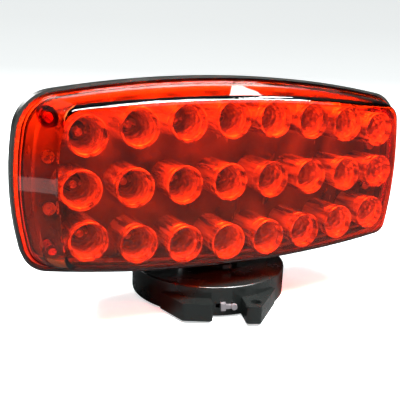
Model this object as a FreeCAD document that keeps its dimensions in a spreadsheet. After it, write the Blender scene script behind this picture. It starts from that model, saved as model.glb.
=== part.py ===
"""Battery tow light: a red lens head with LEDs that swivels on a round magnet base. Millimetres.

Frame: +Z up, origin on the swivel axis at the magnet base's resting face, the lens faces -Y.
Two bodies of parts: the base parts are drawn square to the frame and then turned by base_turn.
"""
import FreeCAD, Part
import math
import os
import re
import Sketcher
from FreeCAD import Placement, Rotation, Vector

SIZES = {
    # Head: outlines are W wide and tall, with bowed sides and rounded corners.
    "head_z": 53.0, "rim_w": 165.0, "rim_tall": 74.0, "rim_bow": 7.5, "rim_side": 4.0,
    "rim_top_rad": 15.0, "rim_low_rad": 10.0,
    "nose_w": 134.5, "nose_tall": 60.1, "nose_bow": 4.0, "nose_side": 2.5,
    "nose_top_rad": 4.5, "nose_low_rad": 4.5,
    "root_w": 161.0, "root_tall": 70.0, "root_bow": 7.0, "root_side": 3.8,
    "root_top_rad": 13.0, "root_low_rad": 9.0,
    "waist_w": 159.0, "waist_tall": 68.0, "waist_bow": 7.0, "waist_side": 3.8,
    "waist_top_rad": 12.0, "waist_low_rad": 9.0,
    "back_w": 148.0, "back_tall": 62.0, "back_bow": 6.0, "back_side": 3.5,
    "back_top_rad": 10.0, "back_low_rad": 9.0,
    # Stations along Y, front to back.
    "nose_y": -35.2, "face_y": -34.0, "face_bow": 2.8, "face_half": 70.0, "rim_y": -17.2,
    "flange_thick": 2.0, "gasket_thick": 0.6, "band_y": -10.0, "back_y": 17.0,
    "lens_wall": 1.6, "band_wall": 3.0, "shell_wall": 2.4, "rebate_inset": 0.8, "flange_inset": 1.0,
    "seal_out_inset": 1.2, "seal_in_inset": 2.9, "flange_gap": 0.2, "back_bevel": 2.0,
    "lens_edge_rad": 2.4, "band_edge_rad": 1.8, "door_edge_rad": 0.8,
    # Corner screws that pull the lens onto the housing.
    "screw_x": 70.0, "screw_up": 22.5, "boss_rad": 3.9, "lens_boss_rad": 3.0, "lens_boss_len": 7.9,
    "lens_screw_rad": 1.45, "lens_screw_len": 12.3, "lens_head_rad": 2.6, "lens_head_tall": 1.8,
    "pocket_rad": 3.1, "pocket_floor": -8.2,
    # LED grid.
    "led_cols": 8, "mid_pitch": 17.8, "outer_pitch": 17.2, "row_gap": 17.5, "row_arch": 4.95,
    "front_arch": 2.3, "cup_front_y": -29.2, "cup_front_rad": 6.9, "cup_back_rad": 6.4,
    "cup_lip": 2.0, "cup_wall": 0.8, "cup_eye": 3.3, "led_rad": 2.5, "led_flange_rad": 2.9,
    "led_tall": 8.4,
    "carrier_y": -14.0, "carrier_thick": 1.6, "carrier_inset": 2.4, "carrier_in_inset": 3.4,
    "carrier_front": -20.0, "board_thick": 1.6, "board_inset": 7.0, "post_x": 69.5, "post_up": 9.0,
    "post_rad": 2.8, "post_screw_rad": 1.2, "post_head_rad": 2.2, "post_head_tall": 1.5,
    # Battery compartment and door.
    "door_z": 56.0, "door_w": 124.0, "door_tall": 43.0, "door_rad": 6.0, "door_thick": 2.0,
    "seal_thick": 0.5, "door_screw_x": 58.9, "door_screw_up": 18.5, "door_screw_rad": 1.3,
    "door_boss_rad": 2.6, "door_head_rad": 2.3, "door_head_tall": 1.5, "rib_w": 2.0, "rib_tall": 25.0,
    "rib_out": 0.8, "rib_row_w": 32.0, "cell_rad": 7.25, "cell_len": 50.5, "cell_y": 7.0,
    "cell_step": 7.6, "cell_x": 26.85, "button_rad": 2.7, "button_len": 1.4, "can_short": 1.2,
    "cell_gap": 0.35, "tray_w": 111.6, "tray_tall": 32.6, "tray_wall": 1.2, "tray_floor": 1.25,
    "hatch_w": 111.0, "hatch_tall": 33.0,
    # Receiver board under the tray.
    "control_w": 72.0, "control_tall": 11.5, "control_y": 6.0, "control_z": 27.6, "chip_z": 30.5,
    "socket_w": 7.0, "socket_deep": 8.6, "socket_tall": 4.4, "socket_z": 28.2, "lead_rad": 0.6,
    # Swivel.
    "neck_rad": 12.8, "neck_z": 13.4, "neck_top": 21.8, "seat_rad": 10.4, "seat_z": 24.1,
    "bolt_rad": 6.0, "bolt_bore": 3.4, "bolt_head_rad": 9.5, "bolt_head_tall": 2.6, "bolt_z": 7.2,
    "ring_rad": 6.95, "ring_wire": 0.62, "tab_w": 4.0, "tab_reach": 17.0, "tab_thick": 1.6,
    "pin_rad": 1.2, "pin_at": 15.4, "pin_len": 4.2, "nut_rad": 9.6, "nut_tall": 1.4,
    "spring_rad": 9.2, "spring_thick": 0.75,
    # Magnet base.
    "base_turn": -15.5, "pad_rad": 31.0, "pad_thick": 1.0, "base_rad": 32.4, "base_top": 12.4,
    "base_roof": 2.5, "base_wall": 1.8, "top_edge": 0.8, "bore_gap": 0.06, "ear_top": 7.8,
    "ear_hole": 1.9, "ear_hole_x": 11.2, "ear_hole_y": -36.6,
    "pot_rad": 25.4, "pot_top": 5.8, "pot_flange": 26.8, "pole_rad": 8.9, "groove_rad": 23.5,
    "groove_top": 4.6, "retainer_thick": 2.0, "retainer_rad": 30.4, "base_screw_at": 28.9,
    "base_screw_rad": 0.85, "base_screw_len": 6.0, "base_head_rad": 1.7, "base_head_tall": 1.2,
    "base_post_rad": 1.75,
    # Power switch in the base wall.
    "window_w": 6.6, "window_low": 3.85, "window_tall": 1.9, "slider_travel": 3.0, "wire_rad": 0.4,
    "switch_w": 8.0, "switch_deep": 2.9, "switch_tall": 3.6, "switch_y": -30.2, "switch_z": 3.15,
    "slot_deep": 1.2, "stem_w": 2.8, "stem_out": 32.9, "stem_len": 3.4, "stem_tall": 1.3,
    "plate_w": 6.4, "plate_thick": 0.9, "plate_tall": 1.5, "plate_out": 33.7, "thumb_w": 1.9,
    "thumb_tall": 2.9, "thumb_out": 34.7, "grip_rad": 1.1, "grip_len": 1.4, "grip_out": 34.3,
}

doc = FreeCAD.newDocument("TowLight")
sheet = doc.addObject("Spreadsheet::Sheet", "Sheet")
for row, (alias, size) in enumerate(SIZES.items(), start=1):
    sheet.set(f"A{row}", alias)
    sheet.set(f"B{row}", str(size))
    sheet.setAlias(f"B{row}", alias)
doc.recompute()

NODES = []


def ref(text):
    """Turns sheet aliases in an expression into references to the sheet."""
    return re.sub(r"[a-z]+(_[a-z]+)+", lambda m: "Sheet." + m.group(), text)


def bind(thing, **props):
    for prop, text in props.items():
        thing.setExpression(prop, ref(str(text)))
    return thing


def put(thing, at, axis="Z", turn=0):
    """Places a primitive with its own Z axis along axis, at bound coordinates."""
    lean = {"Z": Rotation(), "Y": Rotation(Vector(1, 0, 0), -90), "X": Rotation(Vector(0, 1, 0), 90)}[axis]
    thing.Placement = Placement(Vector(), Rotation(Vector(0, 0, 1), turn) * lean)
    for letter, text in zip("xyz", at):
        thing.setExpression(f"Placement.Base.{letter}", ref(str(text)))
    return thing


def box(name, size, at):
    solid = bind(doc.addObject("Part::Box", name), Length=size[0], Width=size[1], Height=size[2])
    return put(solid, at)


def rod(name, radius, length, at, axis="Z"):
    return put(bind(doc.addObject("Part::Cylinder", name), Radius=radius, Height=length), at, axis)


def tube(name, radius, hole, length, at, axis="Z"):
    return cut(name, rod(f"{name}_out", radius, length, at, axis), [rod(f"{name}_in", hole, length, at, axis)])


def fuse(name, shapes):
    joined = doc.addObject("Part::MultiFuse", name)
    joined.Shapes = shapes
    return joined


def cut(name, base, tools):
    rest = doc.addObject("Part::Cut", name)
    rest.Base = base
    rest.Tool = tools[0] if len(tools) == 1 else fuse(f"{name}_tools", tools)
    return rest


def common(name, first, second):
    both = doc.addObject("Part::Common", name)
    both.Base = first
    both.Tool = second
    return both


def group(name, solids):
    """Separate solids that share one node."""
    together = doc.addObject("Part::Compound", name)
    together.Links = solids
    return together


def feature(name, shape):
    solid = doc.addObject("Part::Feature", name)
    solid.Shape = shape
    return solid


def node(name, solid):
    """Names a finished head part; the Label is the name of its file."""
    solid.Label = name
    NODES.append(solid)
    return solid


def base_node(name, solid):
    """Names a finished base part and turns it about the swivel axis."""
    solid.Placement = Placement(Vector(), Rotation(Vector(0, 0, 1), SIZES["base_turn"]))
    return node(name, solid)


def new_body(name):
    return doc.addObject("PartDesign::Body", name)


def sketch_on(body, name, role, offset="0", centre="0"):
    """A sketch on a body's origin plane, offset along its normal and lifted by centre."""
    plane = next(f for f in body.Origin.OriginFeatures if f.Role == role)
    sketch = body.newObject("Sketcher::SketchObject", name)
    sketch.AttachmentSupport = (plane, "")
    sketch.MapMode = "FlatFace"
    sketch.setExpression("AttachmentOffset.Base.z", ref(offset))
    sketch.setExpression("AttachmentOffset.Base.y", ref(centre))
    return sketch


def dim(sketch, name, text, *constraint):
    """Adds a named dimension and binds it to the sheet."""
    index = sketch.addConstraint(Sketcher.Constraint(*constraint))
    sketch.renameConstraint(index, name)
    sketch.setExpression(f"Constraints.{name}", ref(text))


def circle(sketch, radius, x="0", y="0"):
    """A circle whose radius and centre are bound to the sheet."""
    tag = len(sketch.Geometry)
    index = sketch.addGeometry(Part.Circle(Vector(1, 1, 0), Vector(0, 0, 1), 1.0), False)
    dim(sketch, f"rad{tag}", radius, "Radius", index, 1.0)
    dim(sketch, f"across{tag}", x, "DistanceX", -1, 1, index, 3, 1.0)
    dim(sketch, f"up{tag}", y, "DistanceY", -1, 1, index, 3, 1.0)


def polygon(sketch, points):
    """A closed outline of straight lines through fixed points."""
    count = len(points)
    for here, there in zip(points, points[1:] + points[:1]):
        sketch.addGeometry(Part.LineSegment(Vector(*here, 0), Vector(*there, 0)), False)
    first = len(sketch.Geometry) - count
    for k in range(count):
        after = first + (k + 1) % count
        sketch.addConstraint(Sketcher.Constraint("Coincident", first + k, 2, after, 1))
    for k, (x, y) in enumerate(points):
        sketch.addConstraint(Sketcher.Constraint("DistanceX", -1, 1, first + k, 1, x))
        sketch.addConstraint(Sketcher.Constraint("DistanceY", -1, 1, first + k, 1, y))


def rectangle(sketch, wide, tall, x="0", y="0"):
    """A rectangle centred on x, y with bound sizes."""
    first = len(sketch.Geometry)
    corners = [(-1, -1), (1, -1), (1, 1), (-1, 1)]
    for here, there in zip(corners, corners[1:] + corners[:1]):
        sketch.addGeometry(Part.LineSegment(Vector(*here, 0), Vector(*there, 0)), False)
    for k in range(4):
        sketch.addConstraint(Sketcher.Constraint("Coincident", first + k, 2, first + (k + 1) % 4, 1))
        level = "Horizontal" if k % 2 == 0 else "Vertical"
        sketch.addConstraint(Sketcher.Constraint(level, first + k))
    dim(sketch, f"wide{first}", wide, "DistanceX", first, 1, first, 2, 2.0)
    dim(sketch, f"tall{first}", tall, "DistanceY", first + 1, 1, first + 1, 2, 2.0)
    dim(sketch, f"left{first}", f"({x}) - ({wide})/2", "DistanceX", -1, 1, first, 1, -1.0)
    dim(sketch, f"low{first}", f"({y}) - ({tall})/2", "DistanceY", -1, 1, first, 1, -1.0)


def bow_radius(half_chord, bow):
    return (half_chord ** 2 + bow ** 2) / (2 * bow)


def corner_arc(side, lid, radius):
    """Centre of the corner arc inside the side and top circles, both given as (distance, radius)."""
    reach_lid = lid[1] - radius
    reach_side = side[1] - radius
    gap = math.hypot(side[0], lid[0])
    along = (reach_lid ** 2 - reach_side ** 2 + gap ** 2) / (2 * gap)
    off = math.sqrt(reach_lid ** 2 - along ** 2)
    ux, uy = side[0] / gap, -lid[0] / gap
    return max((along * ux - s * off * uy, lid[0] + along * uy + s * off * ux) for s in (-1, 1))


def bowed_outline(sketch, kind, inset="0"):
    """Eight tangent arcs: four bowed sides and four corners, inset from the named outline."""
    inward = SIZES.get(inset, 0.0)
    half_w = SIZES[f"{kind}_w"] / 2 - inward
    half_h = SIZES[f"{kind}_tall"] / 2 - inward
    lid_r = bow_radius(half_w - SIZES[f"{kind}_side"], SIZES[f"{kind}_bow"])
    side_r = bow_radius(half_h - SIZES[f"{kind}_bow"], SIZES[f"{kind}_side"])
    lid = (half_h - lid_r, lid_r)
    side = (half_w - side_r, side_r)
    radii = [SIZES[f"{kind}_top_rad"] - inward / 2, SIZES[f"{kind}_low_rad"] - inward / 2]
    turns = []
    for sx, sy in ((1, 1), (-1, 1), (-1, -1), (1, -1)):
        radius = radii[0] if sy > 0 else radii[1]
        cx, cy = corner_arc(side, lid, radius)
        a_side = math.atan2(cy, cx - side[0])
        a_lid = math.atan2(cy - lid[0], cx)
        turns.append((sx, sy, radius, sx * cx, sy * cy, a_side, a_lid))
    add_outline_arcs(sketch, lid, side, turns)


def add_outline_arcs(sketch, lid, side, turns):
    """Arcs anticlockwise from the upper right corner, joined end to end."""
    def arc(cx, cy, radius, start, end):
        round_edge = Part.Circle(Vector(cx, cy, 0), Vector(0, 0, 1), radius)
        sketch.addGeometry(Part.ArcOfCircle(round_edge, start, end), False)

    (_, _, r1, x1, y1, s1, l1), (_, _, r2, x2, y2, s2, l2) = turns[0], turns[1]
    (_, _, r3, x3, y3, s3, l3), (_, _, r4, x4, y4, s4, l4) = turns[2], turns[3]
    arc(x1, y1, r1, s1, l1)
    arc(0, lid[0], lid[1], l1, math.pi - l2)
    arc(x2, y2, r2, math.pi - l2, math.pi - s2)
    arc(-side[0], 0, side[1], math.pi - s2, math.pi + s3)
    arc(x3, y3, r3, math.pi + s3, math.pi + l3)
    arc(0, -lid[0], lid[1], math.pi + l3, 2 * math.pi - l4)
    arc(x4, y4, r4, 2 * math.pi - l4, 2 * math.pi - s4)
    arc(side[0], 0, side[1], -s4, s1)
    for k in range(8):
        sketch.addConstraint(Sketcher.Constraint("Tangent", k, 2, (k + 1) % 8, 1))


def outline_size(sketch, kind, inset="0"):
    """Binds an outline's overall sizes and radii to the sheet."""
    half_w = f"({kind}_w/2 - {inset})"
    half_h = f"({kind}_tall/2 - {inset})"
    lid_r = f"((({half_w} - {kind}_side)^2 + {kind}_bow^2)/(2*{kind}_bow))"
    side_r = f"((({half_h} - {kind}_bow)^2 + {kind}_side^2)/(2*{kind}_side))"
    for index, name in ((1, "lid"), (5, "sill")):
        sketch.addConstraint(Sketcher.Constraint("PointOnObject", index, 3, -2))
        dim(sketch, name, lid_r, "Radius", index, 100.0)
    for index, name in ((3, "left"), (7, "right")):
        sketch.addConstraint(Sketcher.Constraint("PointOnObject", index, 3, -1))
        dim(sketch, name, side_r, "Radius", index, 100.0)
    for index, name, text in ((0, "ne", "top"), (2, "nw", "top"), (4, "sw", "low"), (6, "se", "low")):
        dim(sketch, name, f"{kind}_{text}_rad - {inset}/2", "Radius", index, 10.0)
    dim(sketch, "lid_at", f"{lid_r} - {half_h}", "DistanceY", 1, 3, -1, 1, 100.0)
    dim(sketch, "sill_at", f"{lid_r} - {half_h}", "DistanceY", -1, 1, 5, 3, 100.0)
    dim(sketch, "right_at", f"{side_r} - {half_w}", "DistanceX", 7, 3, -1, 1, 100.0)
    dim(sketch, "left_at", f"{side_r} - {half_w}", "DistanceX", -1, 1, 3, 3, 100.0)


def outline_sketch(body, name, kind, y, inset="0"):
    """A bowed outline on a plane square to Y, centred on the head."""
    sketch = sketch_on(body, name, "XZ_Plane", f"-({y})", "head_z")
    bowed_outline(sketch, kind, inset)
    outline_size(sketch, kind, inset)
    return sketch


def loft(name, *stations):
    """A solid lofted through bowed outlines, each given as (outline, y, inset)."""
    body = new_body(name)
    sections = [outline_sketch(body, f"{name}_at{k}", *station) for k, station in enumerate(stations)]
    solid = body.newObject("PartDesign::AdditiveLoft", f"{name}_loft")
    solid.Profile = sections[0]
    solid.Sections = sections[1:]
    solid.Ruled = True
    body.Tip = solid
    return body


def slab(name, kind, y, thick, inset="0"):
    """A plate of a bowed outline, from y towards the back."""
    body = new_body(name)
    sketch = outline_sketch(body, f"{name}_edge", kind, y, inset)
    pad = body.newObject("PartDesign::Pad", f"{name}_pad")
    pad.Profile = sketch
    pad.setExpression("Length", ref(thick))
    pad.Reversed = True
    body.Tip = pad
    return body


def bulge(body, name, wall="0"):
    """Trims a lofted nose to the bowed front face, one arc in plan."""
    sketch = sketch_on(body, f"{name}_plan", "XY_Plane", "head_z")
    radius = bow_radius(SIZES["face_half"], SIZES["face_bow"])
    front = SIZES["face_y"] + SIZES.get(wall, 0.0)
    side, clear = 95.0, -60.0
    end = front + radius - math.sqrt(radius ** 2 - side ** 2)
    face = Part.Arc(Vector(-side, end, 0), Vector(0, front, 0), Vector(side, end, 0))
    sketch.addGeometry(face, False)
    corners = [(side, end), (side, clear), (-side, clear), (-side, end)]
    for here, there in zip(corners, corners[1:]):
        sketch.addGeometry(Part.LineSegment(Vector(*here, 0), Vector(*there, 0)), False)
    sketch.addConstraint(Sketcher.Constraint("PointOnObject", 0, 3, -2))
    dim(sketch, "bulge", "(face_half^2 + face_bow^2)/(2*face_bow)", "Radius", 0, radius)
    dim(sketch, "centre", f"face_y + {wall} + (face_half^2 + face_bow^2)/(2*face_bow)",
        "DistanceY", -1, 1, 0, 3, front + radius)
    pocket = body.newObject("PartDesign::Pocket", f"{name}_trim")
    pocket.Profile = sketch
    pocket.Type = "Length"
    pocket.Midplane = True
    pocket.setExpression("Length", ref("rim_tall * 2"))
    body.Tip = pocket
    return pocket


def soften(body, name, radius, wanted):
    """Rounds the edges of the tip for which wanted(edge) holds."""
    doc.recompute()
    tip = body.Tip
    edges = [f"Edge{k}" for k, edge in enumerate(tip.Shape.Edges, start=1) if wanted(edge)]
    fillet = body.newObject("PartDesign::Fillet", name)
    fillet.Base = (tip, edges)
    fillet.setExpression("Radius", ref(radius))
    body.Tip = fillet
    return body


def corners_of(x, up, centre="head_z"):
    """Four bound positions, one in each corner of the head."""
    return [(f"{sx}*{x}", f"{centre} + {sz}*{up}") for sx in (-1, 1) for sz in (-1, 1)]


def rods_at(name, places, radius, y, length):
    """Equal rods along Y at several x, z places."""
    return [rod(f"{name}{k}", radius, length, (x, y, z), "Y") for k, (x, z) in enumerate(places)]


def screws(name, places, shank, length, head, head_tall, seat_y, toward):
    """Pan-head screws along Y: heads at seat_y, shanks running toward +1 or -1."""
    shanks, heads = [], []
    for k, (x, z) in enumerate(places):
        start = seat_y if toward > 0 else f"{seat_y} - ({length})"
        cap = f"{seat_y} - {head_tall}" if toward > 0 else seat_y
        shanks.append(rod(f"{name}_shank{k}", shank, length, (x, start, z), "Y"))
        heads.append(rod(f"{name}_head{k}", head, head_tall, (x, cap, z), "Y"))
    return node(name, fuse(name, shanks + heads))


def ruled_path(points, bend):
    """A wire of straight runs joined by tangent arcs of one radius."""
    edges = []
    start = points[0]
    for before, at, after in zip(points, points[1:], points[2:]):
        back = (before - at).normalize()
        onward = (after - at).normalize()
        half = back.getAngle(onward) / 2
        cut_back = bend / math.tan(half)
        enter = at + back * cut_back
        leave = at + onward * cut_back
        middle = at + (back + onward).normalize() * (bend / math.sin(half) - bend)
        edges.append(Part.LineSegment(start, enter).toShape())
        edges.append(Part.Arc(enter, middle, leave).toShape())
        start = leave
    edges.append(Part.LineSegment(start, points[-1]).toShape())
    return Part.Wire(edges)


def wire(points, bend, radius):
    """A round wire along a bent path."""
    vectors = [Vector(*p) for p in points]
    heading = vectors[1] - vectors[0]
    section = Part.Wire([Part.Circle(vectors[0], heading, radius).toShape()])
    return ruled_path(vectors, bend).makePipeShell([section], True, False)


# ---------------------------------------------------------------- head shell

SCREW_SPOTS = corners_of("screw_x", "screw_up")
POST_SPOTS = corners_of("post_x", "post_up")
DOOR_SPOTS = corners_of("door_screw_x", "door_screw_up", "door_z")


def lens():
    """Clear red shell: drafted bowed walls, a bulged face, a flange and four screw bosses."""
    outer = loft("lens_outer", ("nose", "nose_y"), ("root", "rim_y"))
    bulge(outer, "lens_face")
    soften(outer, "lens_edge", "lens_edge_rad", lambda e: e.BoundBox.YMax < SIZES["face_y"] + 4.2)
    hollow = loft("lens_hollow", ("nose", "nose_y", "lens_wall"), ("root", "rim_y", "lens_wall"))
    bulge(hollow, "hollow_face", "lens_wall")
    mouth = slab("lens_mouth", "root", "rim_y", "flange_thick * 2", "lens_wall")
    flange = slab("lens_flange", "rim", "rim_y - flange_gap", "flange_thick", "flange_inset")
    bosses = rods_at("lens_boss", SCREW_SPOTS, "lens_boss_rad", "carrier_y - lens_boss_len",
                     "lens_boss_len")
    pilots = rods_at("lens_pilot", SCREW_SPOTS, "lens_screw_rad", "carrier_y - lens_boss_len + 1.2",
                     "lens_boss_len")
    shell = cut("lens_shell", fuse("lens_solid", [outer, flange]), [hollow, mouth])
    room = fuse("lens_room", [outer, slab("boss_room", "root", "rim_y", "carrier_y - rim_y")])
    pillars = common("lens_pillars", fuse("lens_bosses", bosses), room)
    return node("lens", cut("lens_bossed", fuse("lens_joined", [shell, pillars]), pilots))


def lens_gasket():
    """Rubber ring squeezed between the lens flange and the housing ledge."""
    y = "rim_y - flange_gap + flange_thick"
    ring = slab("gasket_out", "rim", y, "gasket_thick", "seal_out_inset")
    hole = slab("gasket_in", "rim", y, "gasket_thick", "seal_in_inset")
    return node("lens_gasket", cut("gasket_ring", ring, [hole]))


def rear_housing():
    """Black shell with a rim band, tapered back, swivel neck, posts, bosses and a battery hatch."""
    band = slab("band_out", "rim", "rim_y", "band_y - rim_y")
    soften(band, "band_edge", "band_edge_rad", lambda e: e.BoundBox.YMin > SIZES["band_y"] - 0.1)
    back = loft("back_out", ("waist", "band_y - 1"), ("back", "back_y - back_bevel"),
                ("back", "back_y", "back_bevel"))
    outside = fuse("housing_out", [band, back])
    rebate = slab("rebate_cut", "rim", "rim_y - 1", "flange_thick + gasket_thick + 1 - flange_gap",
                  "rebate_inset")
    room = slab("band_room", "rim", "rim_y", "band_y - rim_y - shell_wall", "band_wall")
    hold = loft("back_room", ("waist", "band_y - shell_wall - 1", "shell_wall"),
                ("back", "back_y - shell_wall", "shell_wall"))
    hatch = box("hatch", ("hatch_w", "shell_wall * 3", "hatch_tall"),
                ("-hatch_w/2", "back_y - shell_wall * 2", "door_z - hatch_tall/2"))
    shell = cut("housing_shell", outside, [rebate, room, hold, hatch])
    bosses = rods_at("boss", SCREW_SPOTS, "boss_rad", "carrier_y + carrier_thick",
                     "back_y - carrier_y - carrier_thick")
    posts = rods_at("post", POST_SPOTS, "post_rad", "carrier_y + carrier_thick + board_thick",
                    "back_y - carrier_y - carrier_thick - board_thick - 1")
    door_bosses = rods_at("door_boss", DOOR_SPOTS, "door_boss_rad", "back_y - 9", "9")
    inner = common("housing_pillars", fuse("pillars", bosses + posts + door_bosses), outside)
    neck = [rod("neck", "neck_rad", "neck_top - neck_z", ("0", "0", "neck_z")),
            rod("bolt_seat", "seat_rad", "seat_z - neck_top + 1", ("0", "0", "neck_top - 1")),
            box("stop_tab", ("tab_w", "tab_reach - neck_rad + 2", "tab_thick"),
                ("-tab_w/2", "-tab_reach", "neck_z + 0.2"))]
    pockets = rods_at("pocket", SCREW_SPOTS, "pocket_rad", "pocket_floor", "back_y - pocket_floor + 1")
    holes = rods_at("screw_hole", SCREW_SPOTS, "lens_screw_rad + 0.25", "rim_y", "back_y - rim_y")
    post_holes = rods_at("post_hole", POST_SPOTS, "post_screw_rad",
                         "carrier_y + carrier_thick + board_thick", "9")
    door_holes = rods_at("door_hole", DOOR_SPOTS, "door_screw_rad", "back_y - 8", "9")
    bore = rod("neck_bore", "bolt_rad + bore_gap", "seat_z", ("0", "0", "neck_z - 1"))
    groove = rod("ring_groove", "ring_rad + ring_wire + 0.1", "ring_wire * 2 + 0.05",
                 ("0", "0", "seat_z - ring_wire * 2 - 0.05"))
    solid = fuse("housing_solid", [shell, inner] + neck)
    tools = pockets + holes + post_holes + door_holes + [bore, groove]
    return node("rear_housing", cut("housing_cut", solid, tools))


def lens_screws():
    return screws("lens_screws", SCREW_SPOTS, "lens_screw_rad", "lens_screw_len",
                  "lens_head_rad", "lens_head_tall", "pocket_floor", -1)


# ---------------------------------------------------------------- LEDs

def led_places():
    """Row name, x, height above the head's middle and forward bow of each LED."""
    half = (SIZES["led_cols"] - 1) / 2
    for row, up in (("top", 1), ("middle", 0), ("bottom", -1)):
        pitch = SIZES["mid_pitch"] if up == 0 else SIZES["outer_pitch"]
        for col in range(int(SIZES["led_cols"])):
            share = (col - half) / half
            crown = 1 - share ** 2
            rise = up * (SIZES["row_gap"] + SIZES["row_arch"] * crown)
            yield row, (col - half) * pitch, SIZES["head_z"] + rise, SIZES["front_arch"] * crown


def cup_shape(length):
    """One reflector cup about +Y: a tapered tube with a lip and a curved, open bowl."""
    outer_back, outer_front = SIZES["cup_back_rad"], SIZES["cup_front_rad"]
    wall, lip, eye = SIZES["cup_wall"], SIZES["cup_lip"], SIZES["cup_eye"]
    neck_r = outer_front - 0.35
    mouth = outer_front - wall
    step = mouth - 0.5
    profile = [Vector(eye, 0, 0), Vector(outer_back, 0, 0), Vector(neck_r, -(length - lip), 0),
               Vector(outer_front, -(length - lip), 0), Vector(outer_front, -length, 0),
               Vector(mouth, -length, 0), Vector(mouth, -(length - lip), 0),
               Vector(step, -(length - lip), 0)]
    edges = [Part.LineSegment(a, b).toShape() for a, b in zip(profile, profile[1:])]
    belly = Vector(outer_back - 1.6, -length * 0.3, 0)
    edges.append(Part.Arc(profile[-1], belly, profile[0]).toShape())
    return Part.Face(Part.Wire(edges)).revolve(Vector(), Vector(0, 1, 0), 360)


def reflector_cups():
    """Three rows of eight chromed cups; each cup reaches the bowed front plane."""
    rows = {"top": [], "middle": [], "bottom": []}
    for row, x, z, forward in led_places():
        cup = cup_shape(SIZES["carrier_y"] - SIZES["cup_front_y"] + forward)
        cup.translate(Vector(x, SIZES["carrier_y"], z))
        rows[row].append(cup)
    for row, cups in rows.items():
        node(f"reflector_cups_{row}", feature(f"cups_{row}", Part.makeCompound(cups)))


def leds():
    """Round five-millimetre LEDs with flanged feet on the board."""
    solids = []
    forward = Vector(0, -1, 0)
    for _, x, z, _ in led_places():
        foot = Vector(x, SIZES["carrier_y"] + SIZES["carrier_thick"], z)
        tip = foot + forward * (SIZES["led_tall"] - SIZES["led_rad"])
        flange = Part.makeCylinder(SIZES["led_flange_rad"], 1.0, foot, forward)
        barrel = Part.makeCylinder(SIZES["led_rad"], SIZES["led_tall"] - SIZES["led_rad"], foot, forward)
        dome = Part.makeSphere(SIZES["led_rad"], tip)
        solids.append(flange.fuse([barrel, dome]).removeSplitter())
    return node("leds", feature("led_bulbs", Part.makeCompound(solids)))


def carrier_block(name, inset):
    """The inside of the lens back to the carrier plate, less a gap all round."""
    nose = loft(f"{name}_nose", ("nose", "nose_y", inset), ("root", "rim_y", inset))
    return fuse(name, [nose, slab(f"{name}_root", "root", "rim_y", "carrier_y - rim_y", inset)])


def optic_carrier():
    """Metallised tray under the cups: an eye for each LED and a wall that rises inside the lens."""
    plate = slab("carrier_plate", "root", "carrier_y", "carrier_thick", "carrier_inset")
    wall = cut("carrier_wall", carrier_block("wall_out", "carrier_inset"),
               [carrier_block("wall_in", "carrier_in_inset"),
                box("wall_front", ("rim_w * 2", "30", "rim_tall * 2"),
                    ("-rim_w", "carrier_front - 30", "head_z - rim_tall"))])
    eyes = [Part.makeCylinder(SIZES["cup_eye"], SIZES["carrier_thick"] * 2,
                              Vector(x, SIZES["carrier_y"] - 1, z), Vector(0, 1, 0))
            for _, x, z, _ in led_places()]
    reliefs = rods_at("carrier_relief", SCREW_SPOTS, "lens_boss_rad + 0.3", "carrier_front - 1",
                      "carrier_y - carrier_front + 1")
    holes = rods_at("carrier_hole", POST_SPOTS, "post_screw_rad + 0.2", "carrier_y - 1", "4")
    passes = rods_at("carrier_pass", SCREW_SPOTS, "lens_screw_rad + 0.3", "carrier_y - 1", "4")
    neck_relief = rod("carrier_neck", "neck_rad + 0.4", "neck_top + 0.4", ("0", "0", "0"))
    tools = [feature("carrier_eyes", Part.makeCompound(eyes)), neck_relief] + reliefs + holes + passes
    return node("optic_carrier", cut("carrier_cut", fuse("carrier_solid", [plate, wall]), tools))


def led_board():
    plate = slab("board_plate", "rim", "carrier_y + carrier_thick", "board_thick", "board_inset")
    reliefs = rods_at("board_relief", SCREW_SPOTS, "boss_rad + 0.4", "carrier_y", "5")
    holes = rods_at("board_hole", POST_SPOTS, "post_screw_rad + 0.2", "carrier_y", "5")
    return node("led_board", cut("board_cut", plate, reliefs + holes))


def led_resistors():
    """One surface-mount resistor behind each column of LEDs."""
    size = Vector(3.2, 0.6, 1.6)
    y = SIZES["carrier_y"] + SIZES["carrier_thick"] + SIZES["board_thick"]
    solids = [Part.makeBox(size.x, size.y, size.z, Vector(x - size.x / 2, y, z + 8.0))
              for row, x, z, _ in led_places() if row == "middle"]
    return node("led_resistors", feature("resistors", Part.makeCompound(solids)))


def board_screws():
    return screws("board_screws", POST_SPOTS, "post_screw_rad", "carrier_thick + board_thick + 7",
                  "post_head_rad", "post_head_tall", "carrier_y", 1)


# ---------------------------------------------------------------- battery and electronics

def battery_tray():
    """Open-backed tray for four AA cells, two end to end and two high."""
    floor_y = "cell_y - cell_rad - tray_floor - cell_gap"
    shell = box("tray_out", ("tray_w", f"back_y - shell_wall - ({floor_y})", "tray_tall"),
                ("-tray_w/2", floor_y, "door_z - tray_tall/2"))
    bay_w = "(tray_w/2 - tray_wall * 1.5)"
    bays = [box(f"tray_bay{k}", (bay_w, "back_y", "tray_tall - tray_wall * 2"),
                (x, "cell_y - cell_rad - cell_gap", "door_z - tray_tall/2 + tray_wall"))
            for k, x in enumerate(("tray_wall / 2", f"-tray_wall/2 - {bay_w}"))]
    return node("battery_tray", cut("tray_cut", shell, bays))


def cell_spots():
    return [(sx, sz) for sx in (-1, 1) for sz in (-1, 1)]


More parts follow.
